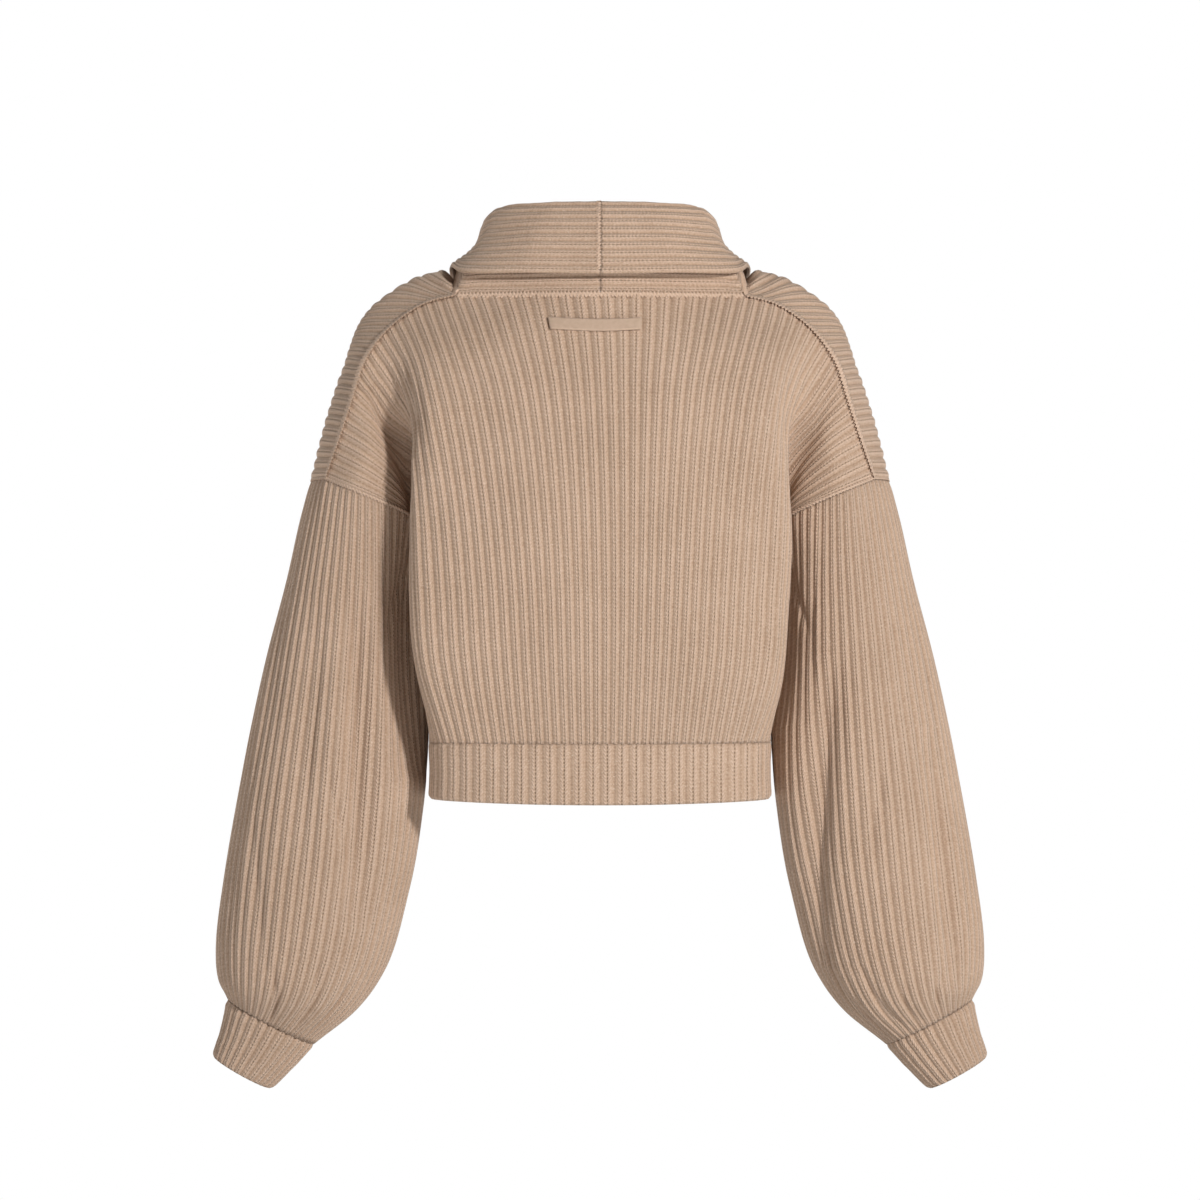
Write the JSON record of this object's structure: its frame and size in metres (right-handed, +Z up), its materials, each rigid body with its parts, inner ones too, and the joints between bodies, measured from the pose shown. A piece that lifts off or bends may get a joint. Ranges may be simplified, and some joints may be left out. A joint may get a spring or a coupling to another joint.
{
  "type": "cropped cardigan",
  "caption": "Cropped chunky rib-knit cardigan with a wide shawl collar, bishop sleeves, ribbed cuffs and waistband, hollow and filled out as worn.",
  "frame": {"origin": "middle of the neck opening, 5 mm above the back neck seam, where the wearer's neck passes", "axes": "+Z up along the standing wearer's neck, +X to the wearer's left, -Y out of the open front, +Y out of the back"},
  "size_m": [0.6546, 0.2534, 0.7395],
  "materials": {
    "knit_back": "matt half-cardigan rib in marled wool",
    "knit_front": "matt half-cardigan rib in marled wool",
    "knit_sleeve": "matt half-cardigan rib in marled wool",
    "knit_collar": "matt half-cardigan rib in marled wool",
    "knit_waistband": "matt half-cardigan rib in marled wool",
    "knit_cuff": "matt half-cardigan rib in marled wool",
    "knit_strip": "matt close-woven wool tape"
  },
  "bodies": {
    "root": {"back": "knit_back", "front_left": "knit_front", "front_right": "knit_front", "sleeve_left": "knit_sleeve", "sleeve_right": "knit_sleeve", "cuff_left": "knit_cuff", "cuff_right": "knit_cuff", "waistband": "knit_waistband", "collar_left": "knit_collar", "collar_right": "knit_collar", "back_strip": "knit_strip"}
  },
  "joints": []
}
